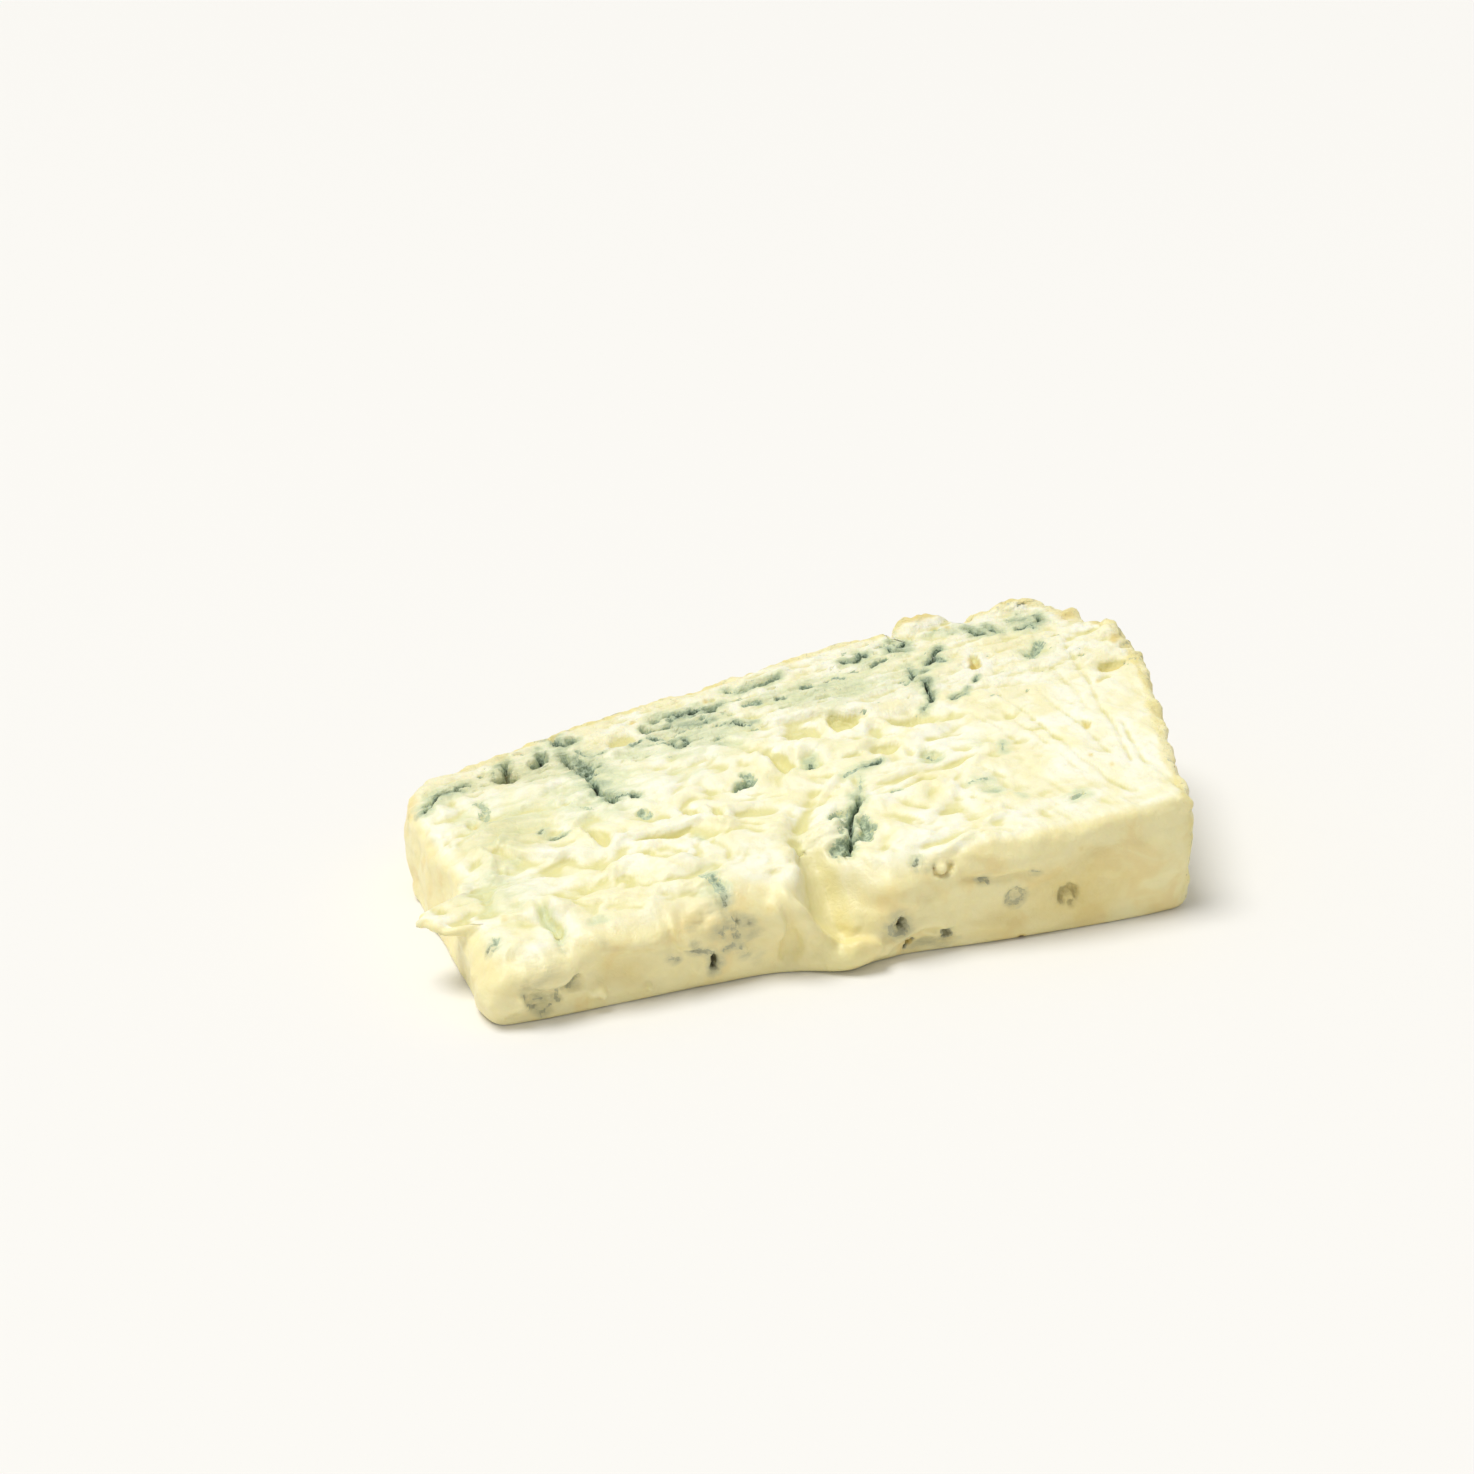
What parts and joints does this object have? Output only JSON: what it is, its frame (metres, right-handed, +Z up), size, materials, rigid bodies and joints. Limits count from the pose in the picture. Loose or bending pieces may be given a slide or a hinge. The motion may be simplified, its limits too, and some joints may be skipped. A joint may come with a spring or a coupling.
{
  "type": "blue cheese wedge",
  "caption": "Thick irregular wedge of soft ivory blue cheese lying on its cut side, with blue-green veins, open mould pockets and a thin tan rind.",
  "frame": {"origin": "middle of the piece's box, on the cut face it rests on", "axes": "+X from the cut nose to the rind of the wheel's side, +Y from the front cut to the rind of the wheel's flat face, +Z up"},
  "size_m": [0.163, 0.0914, 0.0369],
  "materials": {
    "cheese": "soft moist ivory paste with blue-green veins and a thin tan rind"
  },
  "bodies": {
    "root": {"cheese_wedge": "cheese"}
  },
  "joints": []
}
